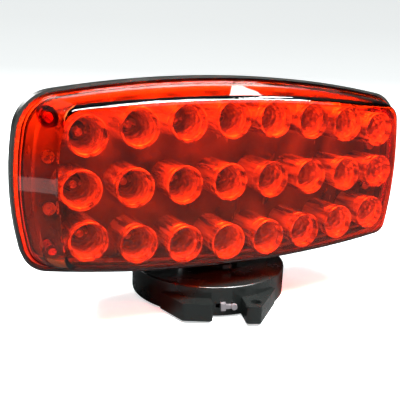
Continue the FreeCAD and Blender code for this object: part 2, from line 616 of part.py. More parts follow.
def battery_cells():
    """AA cells: a can with a positive button at the middle wall."""
    solids = []
    for sx, sz in cell_spots():
        z = f"door_z + {sz}*cell_step"
        can = rod(f"cell_can{sx}{sz}", "cell_rad", "cell_len - can_short",
                  (f"{sx}*(cell_x + can_short/2) - (cell_len - can_short)/2", "cell_y", z), "X")
        button = rod(f"cell_button{sx}{sz}", "button_rad", "button_len",
                     (f"{sx}*(cell_x - cell_len/2 + can_short/2) - button_len/2", "cell_y", z), "X")
        solids.append(fuse(f"cell{sx}{sz}", [can, button]))
    return node("battery_cells", group("cells", solids))


def battery_springs():
    """A conical spring, pressed nearly flat, at each cell's negative end."""
    gauge, pitch, taper, coils = 0.3, 0.45, 0.3, 4
    foot = SIZES["cell_x"] + SIZES["cell_len"] / 2 + gauge + 0.05
    solids = []
    for sx, sz in cell_spots():
        z = SIZES["door_z"] + sz * SIZES["cell_step"]
        rings = [Part.makeTorus(2.4 + taper * k, gauge,
                                Vector(sx * (foot + pitch * k), SIZES["cell_y"], z), Vector(1, 0, 0))
                 for k in range(coils)]
        solids.append(rings[0].multiFuse(rings[1:]))
    return node("battery_springs", feature("springs", Part.makeCompound(solids)))


def battery_door():
    """Rounded door with grip ribs across its back."""
    body = new_body("door")
    sketch = sketch_on(body, "door_edge", "XZ_Plane", "-(back_y + seal_thick)", "door_z")
    rectangle(sketch, "door_w", "door_tall")
    plate = body.newObject("PartDesign::Pad", "door_pad")
    plate.Profile = sketch
    plate.setExpression("Length", ref("door_thick"))
    plate.Reversed = True
    body.Tip = plate
    soften(body, "door_corner", "door_rad",
           lambda e: e.BoundBox.YLength > 1 and e.BoundBox.XLength < 0.1)
    soften(body, "door_lip", "door_edge_rad",
           lambda e: e.BoundBox.YMin > SIZES["back_y"] + SIZES["seal_thick"] + SIZES["door_thick"] - 0.1)
    ribs = sketch_on(body, "door_rib", "XZ_Plane", "-(back_y + seal_thick + door_thick)", "door_z")
    rectangle(ribs, "rib_w", "rib_tall", "-rib_row_w/2")
    rib = body.newObject("PartDesign::Pad", "rib_pad")
    rib.Profile = ribs
    rib.setExpression("Length", ref("rib_out"))
    rib.Reversed = True
    row = body.newObject("PartDesign::LinearPattern", "rib_row")
    row.Originals = [rib]
    row.Direction = (ribs, ["H_Axis"])
    row.setExpression("Length", ref("rib_row_w"))
    row.Occurrences = 5
    body.Tip = row
    holes = rods_at("door_screw_hole", DOOR_SPOTS, "door_screw_rad + 0.2", "back_y", "door_thick * 3")
    return node("battery_door", cut("door_cut", body, holes))


def door_gasket():
    ring = box("door_seal_out", ("door_w - 2", "seal_thick", "door_tall - 2"),
               ("1 - door_w/2", "back_y", "door_z + 1 - door_tall/2"))
    hole = box("door_seal_in", ("hatch_w", "seal_thick", "hatch_tall"),
               ("-hatch_w/2", "back_y", "door_z - hatch_tall/2"))
    holes = rods_at("seal_hole", DOOR_SPOTS, "door_screw_rad + 0.2", "back_y - 1", "3")
    return node("door_gasket", cut("door_seal", ring, [hole] + holes))


def door_screws():
    return screws("door_screws", DOOR_SPOTS, "door_screw_rad", "door_thick + seal_thick + 6",
                  "door_head_rad", "door_head_tall", "back_y + seal_thick + door_thick", -1)


def control_board():
    """Upright receiver board under the battery tray."""
    plate = box("control_plate", ("control_w", "board_thick", "control_tall"),
                ("-control_w/2", "control_y", "control_z"))
    return node("control_board", plate)


def control_parts():
    """Receiver chip, crystal, transistor and choke on the back of the control board."""
    back = "control_y + board_thick"
    chip = box("chip", ("6.2", "1.5", "5"), ("-20", back, "chip_z"))
    crystal = box("crystal", ("3.2", "1.1", "5.6"), ("-9", back, "chip_z"))
    transistor = box("transistor", ("4.6", "1.8", "4.6"), ("2", back, "chip_z"))
    choke = rod("choke", "3", "3.6", ("17", back, "chip_z + 2.9"), "Y")
    return node("control_parts", group("control_chips", [chip, crystal, transistor, choke]))


def lead_socket():
    """Plug block on the front of the control board, over the hollow bolt."""
    block = box("socket_block", ("socket_w", "socket_deep", "socket_tall"),
                ("-socket_w/2", "control_y - socket_deep", "socket_z"))
    return node("lead_socket", block)


def antenna():
    """Stiff receiving wire from the control board towards one end of the housing."""
    back = SIZES["control_y"] + SIZES["board_thick"]
    z = SIZES["chip_z"] + 2.5
    whip = wire([(30, back, z), (30, back + 3, z), (66, back + 3, z)], 1.8, SIZES["wire_rad"])
    return node("antenna", feature("whip", whip))


def battery_leads():
    """Two wires from the tray's floor down to the control board."""
    floor_y = SIZES["cell_y"] - SIZES["cell_rad"] - SIZES["tray_floor"] - SIZES["cell_gap"]
    high, low = 45.0, 36.0
    leads = [wire([(x, floor_y, high), (x, floor_y - 4, high), (x, floor_y - 4, low),
                   (x, SIZES["control_y"], low)], 2.2, SIZES["lead_rad"]) for x in (-24.0, -20.0)]
    return node("battery_leads", feature("supply_leads", Part.makeCompound(leads)))


def led_leads():
    """Two straight leads from the control board forward to the LED board."""
    board_back = "carrier_y + carrier_thick + board_thick"
    leads = [rod(f"led_lead{x}", "lead_rad", f"control_y - ({board_back})",
                 (str(x), board_back, "chip_z + 0.5"), "Y") for x in (24, 28)]
    return node("led_leads", group("led_feed", leads))


# ---------------------------------------------------------------- swivel

def swivel_bolt():
    """Hollow bolt, head inside the housing, shank down through the base."""
    shank = rod("bolt_shank", "bolt_rad", "seat_z - bolt_z", ("0", "0", "bolt_z"))
    head = rod("bolt_head", "bolt_head_rad", "bolt_head_tall", ("0", "0", "seat_z"))
    bore = rod("bolt_hollow", "bolt_bore", "40", ("0", "0", "0"))
    return node("swivel_bolt", cut("bolt_cut", fuse("bolt_solid", [shank, head]), [bore]))


def seal_ring():
    ring = bind(doc.addObject("Part::Torus", "o_ring"), Radius1="ring_rad", Radius2="ring_wire")
    return node("swivel_seal_ring", put(ring, ("0", "0", "seat_z - ring_wire")))


def thrust_washer():
    return node("thrust_washer", tube("thrust_disc", "neck_rad - 0.3", "bolt_rad + 0.3",
                                      "neck_z - base_top - 0.05", ("0", "0", "base_top + 0.05")))


def swivel_nut():
    """Thin hexagon nut under the base's roof."""
    blank = doc.addObject("Part::Prism", "nut_blank")
    blank.Polygon = 6
    bind(blank, Circumradius="nut_rad", Height="nut_tall")
    put(blank, ("0", "0", "bolt_z + 0.3"))
    return node("swivel_nut", cut("nut_cut", blank, [rod("nut_hole", "bolt_rad", "20", ("0", "0", "0"))]))


def spring_washer():
    return node("spring_washer", tube("washer_disc", "spring_rad", "bolt_rad + 0.3", "spring_thick",
                                      ("0", "0", "bolt_z + nut_tall + 0.5")))


# ---------------------------------------------------------------- magnet base

def rubber_pad():
    """Rubber face that keeps the magnet off the paint."""
    body = new_body("pad")
    sketch = sketch_on(body, "pad_edge", "XY_Plane")
    circle(sketch, "pad_rad")
    pad = body.newObject("PartDesign::Pad", "pad_disc")
    pad.Profile = sketch
    pad.setExpression("Length", ref("pad_thick"))
    body.Tip = pad
    soften(body, "pad_round", "0.3", lambda e: e.BoundBox.ZMax < 0.1)
    return base_node("rubber_pad", body)


def base_pad(body, name, draw, low, high):
    """Pads a sketch of the base between two heights."""
    sketch = sketch_on(body, f"{name}_edge", "XY_Plane", low)
    draw(sketch)
    pad = body.newObject("PartDesign::Pad", name)
    pad.Profile = sketch
    pad.setExpression("Length", ref(f"{high} - ({low})"))
    body.Tip = pad
    return pad


def base_pocket(body, name, draw, low, high):
    """Pockets a sketch of the base upwards between two heights."""
    sketch = sketch_on(body, f"{name}_edge", "XY_Plane", low)
    draw(sketch)
    pocket = body.newObject("PartDesign::Pocket", name)
    pocket.Profile = sketch
    pocket.setExpression("Length", ref(f"{high} - ({low})"))
    pocket.Reversed = True
    body.Tip = pocket
    return pocket


def base_shell():
    """Black cup with two ears either side of the switch, screw posts and the swivel bore."""
    body = new_body("base_cup")
    base_pad(body, "cup_disc", lambda s: circle(s, "base_rad"), "pad_thick", "base_top")
    soften(body, "cup_round", "top_edge", lambda e: e.BoundBox.ZMin > SIZES["base_top"] - 0.1)
    ear = [(6.9, -28.0), (6.9, -40.8), (12.0, -41.4), (22.8, -24.5), (18.0, -22.0)]
    block = [(-5.2, -28.0), (-5.2, -37.8), (-16.4, -35.7), (-23.4, -23.9), (-18.0, -22.0)]
    base_pad(body, "ear_pad", lambda s: polygon(s, ear), "pad_thick", "ear_top")
    base_pad(body, "block_pad", lambda s: polygon(s, block), "pad_thick", "ear_top")
    soften(body, "ear_corner", "1.2", lambda e: e.BoundBox.ZLength > 5 and e.BoundBox.YMax < -34)
    base_pocket(body, "cup_hollow", lambda s: circle(s, "base_rad - base_wall"),
                "pad_thick", "base_top - base_roof")
    base_pocket(body, "bolt_bore_cut", lambda s: circle(s, "bolt_rad + bore_gap"), "0", "base_top + 1")
    base_pocket(body, "ear_hole_cut", lambda s: circle(s, "ear_hole", "ear_hole_x", "ear_hole_y"),
                "0", "ear_top + 1")
    base_pocket(body, "pin_hole", lambda s: circle(s, "pin_rad", "0", "pin_at"),
                "base_top - 2", "base_top + 1")
    posts = base_pad(body, "screw_post", lambda s: circle(s, "base_post_rad", "0", "base_screw_at"),
                     "pad_thick + retainer_thick", "base_top - base_roof + 0.2")
    pilot = base_pocket(body, "post_pilot", lambda s: circle(s, "base_screw_rad", "0", "base_screw_at"),
                        "pad_thick + retainer_thick", "base_top - base_roof")
    ring = body.newObject("PartDesign::PolarPattern", "post_ring")
    ring.Originals = [posts, pilot]
    ring.Axis = (posts.Profile[0], ["N_Axis"])
    ring.Angle = 360
    ring.Occurrences = 3
    body.Tip = ring
    window = box("window", ("window_w", "8", "window_tall"),
                 ("-window_w/2", "-base_rad - 2", "window_low"))
    return base_node("base_shell", cut("base_cut", body, [window]))


def pot_cup():
    """Steel pot with a rim flange and a centre pole round the magnet's groove."""
    blank = rod("pot_blank", "pot_rad", "pot_top - pad_thick", ("0", "0", "pad_thick"))
    flange = rod("pot_lip", "pot_flange", "1", ("0", "0", "pad_thick + retainer_thick + 0.05"))
    groove = tube("pot_groove", "groove_rad", "pole_rad", "groove_top - pad_thick + 1",
                  ("0", "0", "pad_thick - 1"))
    return base_node("pot_cup", cut("pot_cut", fuse("pot_solid", [blank, flange]), [groove]))


def magnet_ring():
    return base_node("magnet_ring", tube("magnet", "groove_rad - 0.2", "pole_rad + 0.2",
                                         "groove_top - pad_thick - 0.15", ("0", "0", "pad_thick + 0.1")))


def base_screw_spots():
    """Three places evenly round the base, clear of the switch."""
    return [(f"base_screw_at*cos({a} deg)", f"base_screw_at*sin({a} deg)") for a in (90, 210, 330)]


def upright(name, radius, low, length):
    return [rod(f"{name}{k}", radius, length, (x, y, low)) for k, (x, y) in enumerate(base_screw_spots())]


def retainer_ring():
    """Plastic ring that holds the pot in the base."""
    ring = tube("retainer", "retainer_rad", "pot_rad + 0.2", "retainer_thick", ("0", "0", "pad_thick"))
    holes = upright("retainer_hole", "base_screw_rad + 0.2", "0", "5")
    seats = upright("retainer_seat", "base_head_rad + 0.2", "0", "pad_thick + 1.25")
    return base_node("retainer_ring", cut("retainer_cut", ring, holes + seats))


def retainer_screws():
    shanks = upright("retainer_shank", "base_screw_rad", "pad_thick + 1.2", "base_screw_len")
    heads = upright("retainer_head", "base_head_rad", "pad_thick + 0.05", "base_head_tall")
    return base_node("retainer_screws", fuse("retainer_bolts", shanks + heads))


def stop_pin():
    """Steel pin in the base's roof that the head's tab meets at each end of its turn."""
    pin = rod("stop_rod", "pin_rad", "pin_len", ("0", "pin_at", "base_top - 2"))
    return base_node("stop_pin", group("stop", [pin]))


def switch_body():
    """Slide switch housing behind the window in the base wall."""
    block = box("switch_block", ("switch_w", "switch_deep", "switch_tall"),
                ("-switch_w/2", "switch_y", "switch_z"))
    slot = box("switch_slot", ("window_w", "slot_deep", "window_tall"),
               ("-window_w/2", "switch_y - 0.1", "window_low"))
    return base_node("switch_body", cut("switch_cut", block, [slot]))


def switch_slider():
    """Light plate outside the wall with a thumb rib, a grip and a stem into the switch."""
    mid = "slider_travel/2"
    stem = box("slider_stem", ("stem_w", "stem_len", "stem_tall"),
               (f"{mid} - stem_w/2", "-stem_out", "window_low + 0.3"))
    plate = box("slider_plate", ("plate_w", "plate_thick", "plate_tall"),
                (f"{mid} - plate_w/2", "-plate_out", "window_low + 0.2"))
    rib = box("slider_rib", ("thumb_w", "thumb_w", "thumb_tall"),
              (f"{mid} - plate_w/2", "-thumb_out", "window_low - 0.1"))
    grip = rod("slider_grip", "grip_rad", "grip_len",
               (f"{mid} + plate_w/2 - grip_rad", "-grip_out", "window_low + plate_tall/2 + 0.2"), "Y")
    return base_node("switch_slider", fuse("slider_solid", [stem, plate, rib, grip]))


def switch_leads():
    """Two wires over the magnet pot and up the hollow bolt to the socket."""
    high = SIZES["pot_top"] + SIZES["wire_rad"] + 0.08
    leads = [wire([(x, -27.3, high), (x, 0, high), (x, 0, 27.8)], 2.4, SIZES["wire_rad"])
             for x in (-0.5, 0.5)]
    return base_node("switch_leads", feature("switch_wires", Part.makeCompound(leads)))


def faults(thing):
    """What is wrong with an object after a recompute, or nothing."""
    if "Invalid" in thing.State or "Error" in thing.State:
        return f"{thing.Name} did not recompute: {thing.State}"
    if hasattr(thing, "Shape") and not thing.TypeId.startswith(("Sketcher", "App")):
        if thing.Shape.isNull() or not thing.Shape.isValid():
            return f"{thing.Name} has no sound shape"
    return ""


def settle(tries):
    """Recomputes, and once more any object that comes out unsound; stops if one stays so."""
    for _ in range(tries):
        doc.recompute()
        bad = [thing for thing in doc.Objects if faults(thing)]
        if not bad:
            return
        for thing in bad:
            thing.touch()
    raise RuntimeError("; ".join(faults(thing) for thing in bad))


SUBPARTS = [
    lens, lens_gasket, rear_housing, lens_screws, reflector_cups, leds, optic_carrier, led_board,
    led_resistors, board_screws, battery_tray, battery_cells, battery_springs, battery_door,
    door_gasket, door_screws, control_board, control_parts, lead_socket, antenna, battery_leads,
    led_leads, swivel_bolt, seal_ring, thrust_washer, swivel_nut, spring_washer, rubber_pad, base_shell,
    pot_cup, magnet_ring, retainer_ring, retainer_screws, stop_pin, switch_body, switch_slider,
    switch_leads,
]

for make in SUBPARTS:
    make()
settle(3)

os.makedirs("parts", exist_ok=True)
for solid in NODES:
    solid.Shape.exportStep(f"parts/{solid.Label}.step")
    print(f"{solid.Label}: {len(solid.Shape.Solids)} solids, {solid.Shape.Volume:.1f} mm3")
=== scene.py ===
"""Looks of a battery tow light: a red lens over chromed LED cups, on a round magnet base.

Metres, in the row frame: +Z up, origin on the swivel axis at the magnet face, the lens faces -Y.
"""
import math

import bmesh
import bpy
from mathutils import Matrix, Vector


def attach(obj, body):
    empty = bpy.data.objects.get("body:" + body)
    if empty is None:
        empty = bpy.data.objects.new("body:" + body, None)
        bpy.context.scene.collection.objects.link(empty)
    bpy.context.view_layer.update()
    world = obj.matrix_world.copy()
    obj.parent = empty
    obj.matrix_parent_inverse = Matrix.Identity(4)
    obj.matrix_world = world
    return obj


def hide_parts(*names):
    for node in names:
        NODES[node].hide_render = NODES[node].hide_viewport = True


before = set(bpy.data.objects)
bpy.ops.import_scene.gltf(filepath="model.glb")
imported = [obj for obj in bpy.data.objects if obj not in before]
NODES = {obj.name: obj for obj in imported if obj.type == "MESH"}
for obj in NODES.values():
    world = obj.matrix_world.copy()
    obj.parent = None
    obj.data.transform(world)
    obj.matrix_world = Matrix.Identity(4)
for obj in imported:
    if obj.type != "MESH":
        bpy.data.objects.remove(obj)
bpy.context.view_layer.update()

MM = 0.001

# ---------------------------------------------------------------- camera, stage and lights

AZIMUTH, ELEVATION, ROLL = -26.71, 14.0, 2.26
DISTANCE = 201 * MM
TARGET = Vector((-19.73, -29.3, 46.7)) * MM
FOCAL = 50.7
FLOOR_GLOW = 0.62
FLOOR_DROP = 0.2 * MM    # keeps the floor off the pad's underside
FLOOR_SPOKES = 64
WORLD_GLOW = 0.16
NEAR_EDGE, FAR_EDGE, NEAR_SHARE = 0.22, 0.42, 0.05    # metres, metres, share of the floor's brightness


def turned_to(back, roll):
    """Rotation of a camera that looks against back, rolled about its own axis."""
    right = Vector((-back.y, back.x, 0)).normalized()
    up = back.cross(right)
    c, s = math.cos(roll), math.sin(roll)
    across, upward = right * c + up * s, up * c - right * s
    return Matrix((across, upward, back)).transposed().to_4x4()


def add_camera():
    a, e = math.radians(AZIMUTH), math.radians(ELEVATION)
    back = Vector((math.sin(a) * math.cos(e), -math.cos(a) * math.cos(e), math.sin(e)))
    camera = bpy.data.objects.new("camera", bpy.data.cameras.new("camera"))
    camera.data.lens = FOCAL
    camera.data.sensor_width = 36
    camera.data.clip_start = 0.01
    turned = turned_to(back, math.radians(ROLL))
    camera.matrix_world = Matrix.Translation(TARGET + back * DISTANCE) @ turned
    bpy.context.scene.collection.objects.link(camera)
    bpy.context.scene.camera = camera


def add_light(name, at, aim, size, power):
    """A rectangular soft light that shows in reflections but not to the camera."""
    data = bpy.data.lights.new(name, "AREA")
    data.shape = "RECTANGLE"
    data.size, data.size_y = size
    data.energy = power
    light = bpy.data.objects.new(name, data)
    light.location = at
    light.rotation_mode = "QUATERNION"
    light.rotation_quaternion = (Vector(aim) - Vector(at)).to_track_quat("-Z", "Y")
    light.visible_camera = False
    bpy.context.scene.collection.objects.link(light)


def node_tree(name):
    material = bpy.data.materials.new(name)
    material.use_nodes = True
    return material, material.node_tree


def near_share(tree):
    """A small share of the floor's brightness near the object, fading to none further out."""
    place = tree.nodes.new("ShaderNodeTexCoord")
    reach = tree.nodes.new("ShaderNodeVectorMath")
    reach.operation = "LENGTH"
    tree.links.new(place.outputs["Object"], reach.inputs[0])
    fade = tree.nodes.new("ShaderNodeMapRange")
    limits = NEAR_EDGE, FAR_EDGE, NEAR_SHARE, 0
    for socket, value in zip(("From Min", "From Max", "To Min", "To Max"), limits):
        fade.inputs[socket].default_value = value
    tree.links.new(reach.outputs["Value"], fade.inputs["Value"])
    return fade.outputs["Result"]


def floor_paint():
    """Bright where a camera ray meets it, faintly so through the lens, and dark to all other rays.

    A floor as bright to every ray would put a pale veil on the lens.
    """
    material, tree = node_tree("floor")
    tree.nodes.remove(tree.nodes["Principled BSDF"])
    seen = tree.nodes.new("ShaderNodeBsdfDiffuse")
    seen.inputs["Color"].default_value = (0.84, 0.88, 0.88, 1)
    glow = tree.nodes.new("ShaderNodeEmission")
    glow.inputs["Color"].default_value = (0.97, 1.0, 1.0, 1)
    glow.inputs["Strength"].default_value = FLOOR_GLOW
    lit = tree.nodes.new("ShaderNodeAddShader")
    tree.links.new(seen.outputs["BSDF"], lit.inputs[0])
    tree.links.new(glow.outputs["Emission"], lit.inputs[1])
    dim = tree.nodes.new("ShaderNodeBsdfDiffuse")
    dim.inputs["Color"].default_value = (0.07, 0.075, 0.075, 1)
    path = tree.nodes.new("ShaderNodeLightPath")
    inside = tree.nodes.new("ShaderNodeMath")
    inside.operation = "MULTIPLY"
    inside.use_clamp = True
    tree.links.new(path.outputs["Transmission Depth"], inside.inputs[0])
    tree.links.new(near_share(tree), inside.inputs[1])
    either = tree.nodes.new("ShaderNodeMath")
    either.operation = "MAXIMUM"
    tree.links.new(path.outputs["Is Camera Ray"], either.inputs[0])
    tree.links.new(inside.outputs["Value"], either.inputs[1])
    mix = tree.nodes.new("ShaderNodeMixShader")
    tree.links.new(either.outputs["Value"], mix.inputs["Fac"])
    tree.links.new(dim.outputs["BSDF"], mix.inputs[1])
    tree.links.new(lit.outputs["Shader"], mix.inputs[2])
    tree.links.new(mix.outputs["Shader"], tree.nodes["Material Output"].inputs["Surface"])
    return material


def add_floor():
    """Round pale floor whose far edge curves up into a plain backdrop."""
    rings = [(0.4, 0.0), (1.2, 0.0), (1.9, 0.05), (2.5, 0.25), (3.0, 0.7), (3.2, 1.4), (3.2, 2.6)]
    verts, faces = [], []
    for radius, up in rings:
        for k in range(FLOOR_SPOKES):
            turn = 2 * math.pi * k / FLOOR_SPOKES
            verts.append((radius * math.cos(turn), radius * math.sin(turn), up - FLOOR_DROP))
    verts.append((0, 0, -FLOOR_DROP))
    for k in range(FLOOR_SPOKES):
        faces.append((len(verts) - 1, k, (k + 1) % FLOOR_SPOKES))
    for ring in range(len(rings) - 1):
        for k in range(FLOOR_SPOKES):
            low, high, after = ring * FLOOR_SPOKES, (ring + 1) * FLOOR_SPOKES, (k + 1) % FLOOR_SPOKES
            faces.append((low + k, high + k, high + after, low + after))
    mesh = bpy.data.meshes.new("floor")
    mesh.from_pydata(verts, [], faces)
    mesh.polygons.foreach_set("use_smooth", [True] * len(mesh.polygons))
    floor = bpy.data.objects.new("floor", mesh)
    mesh.materials.append(floor_paint())
    bpy.context.scene.collection.objects.link(floor)


def add_world():
    world = bpy.data.worlds.new("studio")
    world.use_nodes = True
    background = world.node_tree.nodes["Background"]
    background.inputs["Color"].default_value = (1.0, 1.0, 1.0, 1)
    background.inputs["Strength"].default_value = WORLD_GLOW
    bpy.context.scene.world = world


def add_studio():
    """Floor, backdrop and lamps; sizes in metres and power in watts."""
    add_world()
    add_floor()
    middle = (0, -0.02, 0.05)
    add_light("key", (0.30, -0.62, 1.12), middle, (0.34, 0.30), 18)
    add_light("top_strip", (0.0, -0.095, 0.150), (0.0, -0.03, 0.075), (0.20, 0.025), 1.1)
    add_light("overhead", (0.62, -0.1, 1.0), middle, (0.8, 0.12), 9)
    add_light("back_lamp", (0.66, 0.73, 0.72), middle, (0.28, 0.16), 0.7)
    add_light("ceiling_right", (0.25, -0.35, 1.2), middle, (0.04, 0.04), 6)
    add_light("ceiling_left", (-0.25, -0.50, 1.1), middle, (0.04, 0.04), 6)
    add_light("back_fill", (-0.4, 1.0, 0.5), middle, (0.8, 0.5), 6)
    add_light("left_lamp", (-0.55, 0.33, 0.76), middle, (0.16, 0.10), 8)
    add_light("left_strip", (-0.27, -0.055, 0.012), (-0.075, -0.025, 0.056), (0.20, 0.02), 0.013)
    add_light("front_card", (0.36, -0.68, 0.28), middle, (0.5, 0.25), 0.7)


# ---------------------------------------------------------------- materials


NOISE_ROUGHNESS = 0.55
NOISE_LOW, NOISE_HIGH = 0.35, 0.65    # the range that most of a noise texture's values lie in
METAL_GRAIN = 500


class Build:
    """Short helpers for one material's node tree."""

    def __init__(self, name):
        self.material, self.tree = node_tree(name)
        self.shader = self.tree.nodes["Principled BSDF"]
        self.place = self.tree.nodes.new("ShaderNodeTexCoord").outputs["Object"]

    def set(self, **sockets):
        names = {"colour": "Base Color", "rough": "Roughness", "metal": "Metallic", "ior": "IOR",
                 "clear": "Transmission Weight"}
        for key, value in sockets.items():
            whole = (*value, 1) if isinstance(value, tuple) else value
            self.shader.inputs[names[key]].default_value = whole
        return self

    def noise(self, scale, detail, stretch=None):
        node = self.tree.nodes.new("ShaderNodeTexNoise")
        node.inputs["Scale"].default_value = scale
        node.inputs["Detail"].default_value = detail
        node.inputs["Roughness"].default_value = NOISE_ROUGHNESS
        source = self.place
        if stretch:
            mapping = self.tree.nodes.new("ShaderNodeMapping")
            mapping.inputs["Scale"].default_value = stretch
            self.tree.links.new(self.place, mapping.inputs["Vector"])
            source = mapping.outputs["Vector"]
        self.tree.links.new(source, node.inputs["Vector"])
        return node.outputs["Fac"]

    def cells(self, scale):
        node = self.tree.nodes.new("ShaderNodeTexVoronoi")
        node.inputs["Scale"].default_value = scale
        self.tree.links.new(self.place, node.inputs["Vector"])
        return node.outputs["Distance"]

    def ramp(self, fac, stops):
        """stops: (position, colour) pairs."""
        node = self.tree.nodes.new("ShaderNodeValToRGB")
        ramp = node.color_ramp
        while len(ramp.elements) < len(stops):
            ramp.elements.new(0.5)
        for element, (at, colour) in zip(ramp.elements, stops):
            element.position = at
            element.color = (*colour, 1)
        self.tree.links.new(fac, node.inputs["Fac"])
        return node.outputs["Color"]

    def spread(self, fac, low, high):
        """Maps a noise to a range of numbers."""
        node = self.tree.nodes.new("ShaderNodeMapRange")
        limits = NOISE_LOW, NOISE_HIGH, low, high
        for socket, value in zip(("From Min", "From Max", "To Min", "To Max"), limits):
            node.inputs[socket].default_value = value
        self.tree.links.new(fac, node.inputs["Value"])
        return node.outputs["Result"]

    def link(self, output, socket):
        self.tree.links.new(output, self.shader.inputs[socket])
        return self

    def height(self, low, high):
        """0 below one level of the object and 1 above another, smoothly, in millimetres."""
        split = self.tree.nodes.new("ShaderNodeSeparateXYZ")
        self.tree.links.new(self.place, split.inputs["Vector"])
        node = self.tree.nodes.new("ShaderNodeMapRange")
        node.interpolation_type = "SMOOTHSTEP"
        for socket, value in zip(("From Min", "From Max"), (low * MM, high * MM)):
            node.inputs[socket].default_value = value
        self.tree.links.new(split.outputs["Z"], node.inputs["Value"])
        return node.outputs["Result"]

    def blend(self, fac, first, second):
        node = self.tree.nodes.new("ShaderNodeMix")
        node.data_type = "RGBA"
        factor, colour_a, colour_b = node.inputs[0], node.inputs[6], node.inputs[7]
        for output, socket in ((fac, factor), (first, colour_a), (second, colour_b)):
            self.tree.links.new(output, socket)
        return node.outputs[2]

    def bump(self, height, strength, distance):
        node = self.tree.nodes.new("ShaderNodeBump")
        node.inputs["Strength"].default_value = strength
        node.inputs["Distance"].default_value = distance
        self.tree.links.new(height, node.inputs["Height"])
        self.tree.links.new(node.outputs["Normal"], self.shader.inputs["Normal"])
        return self

    def lets_lamps_in(self, tint):
        """Shadow rays pass straight through, tinted and not bent, so that lamps light what is inside."""
        tree = self.tree
        window = tree.nodes.new("ShaderNodeBsdfTransparent")
        window.inputs["Color"].default_value = (*tint, 1)
        path = tree.nodes.new("ShaderNodeLightPath")
        mix = tree.nodes.new("ShaderNodeMixShader")
        tree.links.new(path.outputs["Is Shadow Ray"], mix.inputs["Fac"])
        tree.links.new(self.shader.outputs["BSDF"], mix.inputs[1])
        tree.links.new(window.outputs["BSDF"], mix.inputs[2])
        tree.links.new(mix.outputs["Shader"], tree.nodes["Material Output"].inputs["Surface"])
        return self


def red_lens():
    """Clear red moulded plastic, faintly uneven in colour and surface."""
    m = Build("red_lens").set(rough=0.012, ior=1.49, clear=1.0)
    m.link(m.ramp(m.noise(28, 2), [(0.35, (0.96, 0.15, 0.028)), (0.7, (0.95, 0.13, 0.022))]), "Base Color")
    m.bump(m.noise(45, 2), 0.12, 0.4 * MM)
    return m.lets_lamps_in((0.98, 0.38, 0.16)).material


def chrome():
    """Bright vacuum-metallised plastic with fine draw lines along the tubes."""
    m = Build("chromed_plastic").set(metal=0.7)
    lines = m.noise(330, 3, (1, 0.12, 1))
    m.link(m.ramp(lines, [(0.38, (0.22, 0.21, 0.2)), (0.6, (0.95, 0.94, 0.92))]), "Base Color")
    m.link(m.spread(m.noise(260, 3, (1, 0.2, 1)), 0.08, 0.26), "Roughness")
    m.bump(m.noise(380, 3, (1, 0.2, 1)), 0.6, 0.5 * MM)
    return m.material


def bowl_chrome():
    """The cups' inside: a smoother coating over small facets."""
    m = Build("chromed_bowl").set(metal=0.65)
    m.link(m.ramp(m.noise(150, 4), [(0.3, (0.75, 0.73, 0.7)), (0.6, (0.95, 0.94, 0.9))]), "Base Color")
    m.link(m.spread(m.noise(300, 3), 0.03, 0.1), "Roughness")
    m.bump(m.cells(480), 1.0, 1.2 * MM)
    return m.material


def tray_coating():
    """Satin metallised tray, streaked; darker low down as painted shade and paler along its top as painted
    light.
    """
    m = Build("metallised_tray").set(metal=0.7)
    streaks = m.noise(60, 4, (1, 1, 0.5))
    # Painted shade and painted light: a dark colour for the tray low down and a pale one along its top.
    painted_shade = m.ramp(streaks, [(0.35, (0.07, 0.06, 0.06)), (0.65, (0.26, 0.25, 0.24))])
    painted_light = m.ramp(streaks, [(0.35, (0.7, 0.68, 0.65)), (0.65, (0.92, 0.9, 0.88))])
    # Blends by height from the painted shade below 58 mm to the painted light above 80 mm.
    m.link(m.blend(m.height(58, 80), painted_shade, painted_light), "Base Color")
    m.link(m.spread(m.noise(90, 4, (1, 1, 0.3)), 0.1, 0.28), "Roughness")
    m.bump(m.noise(70, 3, (1, 1, 0.3)), 0.3, 0.4 * MM)
    return m.material


def epoxy():
    """The LEDs' clear moulding."""
    m = Build("led_epoxy").set(colour=(1.0, 0.93, 0.9), clear=0.9, ior=1.5, rough=0.05)
    m.bump(m.noise(300, 2), 0.1, 0.1 * MM)
    return m.lets_lamps_in((0.98, 0.9, 0.85)).material


def moulded(name, colour, low, high, grain=900, depth=0.3):
    """Moulded plastic: colour drift, gloss that varies and a fine grain."""
    m = Build(name)
    dark = tuple(c * 0.8 for c in colour)
    m.link(m.ramp(m.noise(40, 4), [(0.35, dark), (0.65, colour)]), "Base Color")
    m.link(m.spread(m.noise(70, 5), low, high), "Roughness")
    m.bump(m.noise(grain, 2), depth, 0.05 * MM)
    return m.material


def metal(name, colour, low, high):
    """Plated or plain steel: colour drift, and gloss that varies."""
    m = Build(name).set(metal=1.0)
    dark = tuple(c * 0.82 for c in colour)
    m.link(m.ramp(m.noise(90, 4), [(0.35, dark), (0.65, colour)]), "Base Color")
    m.link(m.spread(m.noise(METAL_GRAIN, 3, (1, 1, 1)), low, high), "Roughness")
    m.bump(m.noise(METAL_GRAIN, 3, (1, 1, 1)), 0.15, 0.05 * MM)
    return m.material


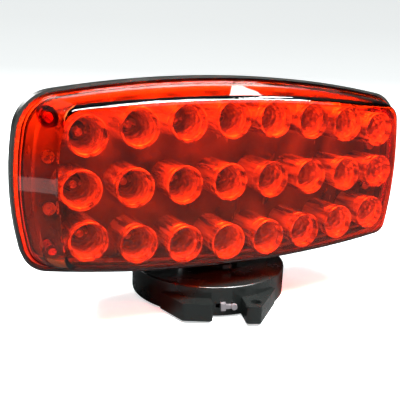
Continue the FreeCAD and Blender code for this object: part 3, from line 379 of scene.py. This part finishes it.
def make_materials():
    return {
        "red_lens": red_lens(),
        "chrome": chrome(),
        "epoxy": epoxy(),
        "black_gloss": moulded("black_gloss", (0.013, 0.014, 0.013), 0.16, 0.32),
        "black_base": moulded("black_base", (0.008, 0.0095, 0.009), 0.12, 0.3),
        "bowl": bowl_chrome(),
        "carrier": tray_coating(),
        "silicone": moulded("pale_silicone", (0.72, 0.68, 0.6), 0.35, 0.55),
        "rubber": moulded("rubber", (0.02, 0.02, 0.021), 0.65, 0.85, 600, 0.6),
        "board": moulded("circuit_board", (0.02, 0.12, 0.045), 0.3, 0.5),
        "chip": moulded("chip_black", (0.02, 0.02, 0.02), 0.4, 0.6),
        "nylon": moulded("socket_nylon", (0.75, 0.72, 0.65), 0.35, 0.5),
        "wire": moulded("insulated_wire", (0.35, 0.02, 0.02), 0.4, 0.55),
        "cell": moulded("cell_jacket", (0.06, 0.07, 0.08), 0.2, 0.35),
        "slider": moulded("slider_grey", (0.16, 0.145, 0.155), 0.35, 0.5),
        "ferrite": moulded("ferrite", (0.05, 0.048, 0.046), 0.5, 0.7),
        "zinc": metal("zinc_steel", (0.66, 0.66, 0.68), 0.22, 0.42),
        "steel": metal("bolt_steel", (0.6, 0.6, 0.61), 0.2, 0.38),
        "pot": metal("pot_steel", (0.62, 0.62, 0.64), 0.2, 0.4),
    }


WEARS = {
    "lens": "red_lens", "lens_gasket": "silicone", "rear_housing": "black_gloss",
    "leds": "epoxy", "optic_carrier": "carrier", "led_board": "board", "led_resistors": "chip",
    "board_screws": "zinc", "battery_tray": "chip", "battery_cells": "cell", "battery_springs": "steel",
    "battery_door": "black_gloss", "door_gasket": "rubber",
    "control_board": "board", "control_parts": "chip", "lead_socket": "nylon", "antenna": "wire",
    "battery_leads": "wire", "led_leads": "wire", "swivel_bolt": "steel", "swivel_seal_ring": "rubber",
    "thrust_washer": "black_base", "swivel_nut": "steel", "spring_washer": "steel", "rubber_pad": "rubber",
    "base_shell": "black_base", "pot_cup": "pot", "magnet_ring": "ferrite", "retainer_ring": "chip",
    "retainer_screws": "zinc", "stop_pin": "steel", "switch_body": "chip", "switch_leads": "wire",
    "switch_slider": "slider",
}


def dress_frame(materials):
    """Gives each carried-over CAD node its finish."""
    for node, wanted in WEARS.items():
        thing = NODES[node]
        if not thing.material_slots:
            raise RuntimeError(f"{node} has no material slot")
        for slot in thing.material_slots:
            slot.material = materials[wanted]


# ---------------------------------------------------------------- finer pieces

# Millimetres, and the same values as in part.py's sheet.
HEAD_Z, TRAY_Y, CUP_FRONT, FRONT_ARCH = 53.0, -14.0, -29.2, 2.3
LED_COLS, MID_PITCH, OUTER_PITCH, ROW_GAP, ROW_ARCH = 8, 17.8, 17.2, 17.5, 4.95
DOOR_Z, DOOR_SCREW_X, DOOR_SCREW_UP, DOOR_FACE = 56.0, 58.9, 18.5, 19.5
LENS_SCREW_X, LENS_SCREW_UP, POCKET_FLOOR = 70.0, 22.5, -8.2
DOOR_HEAD, DOOR_SHANK = (2.3, 1.5), (1.3, 8.5)       # radius and length
LENS_HEAD, LENS_SHANK = (2.6, 1.8), (1.45, 12.3)

CUP_SPOKES, CUP_EYE, BOWL_STEPS = 64, 3.35, 12
ANVIL_X, POST_X = -0.35, 1.3                         # from the LED's axis
SCREW_SPOKES, DOME_STEPS, THREAD_STEP, THREAD_DEEP = 72, 22, 0.35, 0.22
SLOT_HALF, SLOT_REACH, SLOT_EDGE, SLOT_DEEP = 0.28, 1.35, 0.16, 0.75
SHARP_DEGREES = 35


def led_spots():
    """Row, x, y of the cup's front and z of each LED, in millimetres."""
    half = (LED_COLS - 1) / 2
    for row, up in (("top", 1), ("middle", 0), ("bottom", -1)):
        pitch = OUTER_PITCH if up else MID_PITCH
        for col in range(LED_COLS):
            crown = 1 - ((col - half) / half) ** 2
            rise = up * (ROW_GAP + ROW_ARCH * crown)
            yield row, (col - half) * pitch, CUP_FRONT - FRONT_ARCH * crown, HEAD_Z + rise


def cup_profile(length):
    """Radius and height above the tray round one cup, and how many of those points are tube."""
    tube = [(3.4, 0.02), (6.4, 0.02), (6.42, 1.0), (6.52, length - 4.0), (6.36, length - 3.85),
            (6.36, length - 3.5), (6.58, length - 3.35), (6.6, length - 2.75), (6.42, length - 2.6),
            (6.42, length - 2.3), (6.74, length - 2.1), (6.88, length - 1.95), (6.9, length - 1.5),
            (6.9, length - 0.5), (6.84, length - 0.18), (6.68, length - 0.03), (6.42, length),
            (6.2, length - 0.1), (6.1, length - 0.35), (6.08, length - 1.5), (6.06, length - 1.9),
            (5.9, length - 2.02), (5.66, length - 2.06)]
    bowl = [(CUP_EYE + 2.25 * math.sqrt(1 - k / BOWL_STEPS), 0.3 + (length - 2.5) * (1 - k / BOWL_STEPS))
            for k in range(BOWL_STEPS + 1)]
    return tube + bowl, len(tube)


def uncarved(radius, turn):
    return 0.0


def revolve(builder, centre, profile, spokes, slot_of, carve=uncarved, hollow=False):
    """A closed solid about an axis along -Y; profile is (radius, reach).

    A hollow one joins its last ring to its first, and a solid one has a cap at each end.
    carve cuts into the head of a screw only, which is where reach is negative.
    """
    x, y, z = centre
    turns = [2 * math.pi * k / spokes for k in range(spokes)]
    rings = []
    for radius, reach in profile:
        cuts = [carve(radius, t) if reach < 0 else 0.0 for t in turns]
        places = [(x + radius * math.cos(t), y - reach - cut, z + radius * math.sin(t))
                  for t, cut in zip(turns, cuts)]
        rings.append([builder.verts.new((a * MM, b * MM, c * MM)) for a, b, c in places])
    if not hollow:
        for end, step in ((rings[0], 0), (rings[-1], len(rings) - 2)):
            builder.faces.new(end).material_index = slot_of(step)
    onward = rings[1:] + rings[:1] if hollow else rings[1:]
    for step, (near, far) in enumerate(zip(rings, onward)):
        for k in range(spokes):
            after = (k + 1) % spokes
            face = builder.faces.new((near[k], near[after], far[after], far[k]))
            face.smooth = True
            face.material_index = slot_of(step)


def finish_piece(name, builder, materials, body):
    """The builder's mesh as an object that rides on a body."""
    mesh = bpy.data.meshes.new(name)
    bmesh.ops.recalc_face_normals(builder, faces=builder.faces)
    builder.to_mesh(mesh)
    builder.free()
    for material in materials:
        mesh.materials.append(material)
    mesh.set_sharp_from_angle(angle=math.radians(SHARP_DEGREES))
    piece = bpy.data.objects.new(name, mesh)
    bpy.context.scene.collection.objects.link(piece)
    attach(piece, body)
    return piece


def add_cups(materials):
    """Grooved, lipped cups in place of the frame's plain ones."""
    for wanted in ("top", "middle", "bottom"):
        builder = bmesh.new()
        for row, x, y, z in led_spots():
            if row == wanted:
                profile, tube = cup_profile(TRAY_Y - y)
                revolve(builder, (x, TRAY_Y, z), profile, CUP_SPOKES, lambda step: int(step >= tube),
                        hollow=True)
        coatings = materials["chrome"], materials["bowl"]
        cups = finish_piece(f"cups_{wanted}", builder, coatings, "head")
        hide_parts(f"reflector_cups_{wanted}")


def add_lead_frames(materials):
    """The metal inside each clear LED: a cupped anvil over a short post, and a longer post."""
    anvil = [(0.01, 2.4), (0.75, 2.4), (0.8, 3.6), (1.0, 4.6), (0.92, 4.66), (0.6, 4.2), (0.02, 4.1)]
    post = [(0.01, 1.2), (0.28, 1.2), (0.28, 2.5), (0.36, 2.7), (0.36, 4.3), (0.22, 4.7), (0.01, 4.75)]
    short_post = [(r * 0.8, h - 1.2) for r, h in post]
    builder = bmesh.new()
    for _, x, _, z in led_spots():
        revolve(builder, (x + ANVIL_X, TRAY_Y, z), anvil, 20, lambda step: 0)
        revolve(builder, (x + POST_X, TRAY_Y, z), post, 12, lambda step: 0)
        revolve(builder, (x + ANVIL_X, TRAY_Y, z), short_post, 12, lambda step: 0)
    finish_piece("led_lead_frames", builder, (materials["zinc"],), "head")


def cross_recess(radius, turn):
    """Depth of a tapered cross slot in a screw head."""
    across = abs(radius * math.sin(turn)), abs(radius * math.cos(turn))
    arm = min(across) - SLOT_HALF
    end = max(across) - SLOT_REACH
    outside = max(arm, end)
    return SLOT_DEEP * min(1.0, max(0.0, -outside / SLOT_EDGE)) * (1 - 0.3 * radius / 1.4)


def add_screws(materials, node, spots, seat, head, shank):
    """Pan-head screws with cross slots, heads towards +Y; head and shank are (radius, length)."""
    wide, tall = head
    radius, length = shank
    dome = [(0.02 + (wide - 0.45) * k / DOME_STEPS, -tall + 0.18 * (k / DOME_STEPS) ** 2)
            for k in range(DOME_STEPS + 1)]
    edge = [(wide - 0.25, -tall + 0.32), (wide - 0.08, -tall + 0.6), (wide, -tall + 0.95),
            (wide, -0.05), (wide - 0.05, 0)]
    thread = [(radius - THREAD_DEEP * (k % 2), THREAD_STEP * k) for k in range(int(length / THREAD_STEP))]
    profile = dome + edge + thread + [(0.05, length)]
    builder = bmesh.new()
    for k, (x, z) in enumerate(spots):
        turn = 0.5 + 1.1 * k    # each slot stops at its own angle
        revolve(builder, (x, seat, z), profile, SCREW_SPOKES, lambda step: 0,
                lambda out, t: cross_recess(out, t + turn))
    piece = finish_piece(f"cross_{node}", builder, (materials["zinc"],), "head")
    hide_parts(node)


def corner_spots(x, up, middle):
    """The x and z of four corners about a middle height."""
    return [(sx * x, middle + sz * up) for sx in (-1, 1) for sz in (-1, 1)]


add_camera()
add_studio()
MATERIALS = make_materials()
dress_frame(MATERIALS)
add_cups(MATERIALS)
add_lead_frames(MATERIALS)
door_corners = corner_spots(DOOR_SCREW_X, DOOR_SCREW_UP, DOOR_Z)
lens_corners = corner_spots(LENS_SCREW_X, LENS_SCREW_UP, HEAD_Z)
add_screws(MATERIALS, "door_screws", door_corners, DOOR_FACE, DOOR_HEAD, DOOR_SHANK)
add_screws(MATERIALS, "lens_screws", lens_corners, POCKET_FLOOR, LENS_HEAD, LENS_SHANK)
bpy.context.scene.view_settings.view_transform = "Standard"
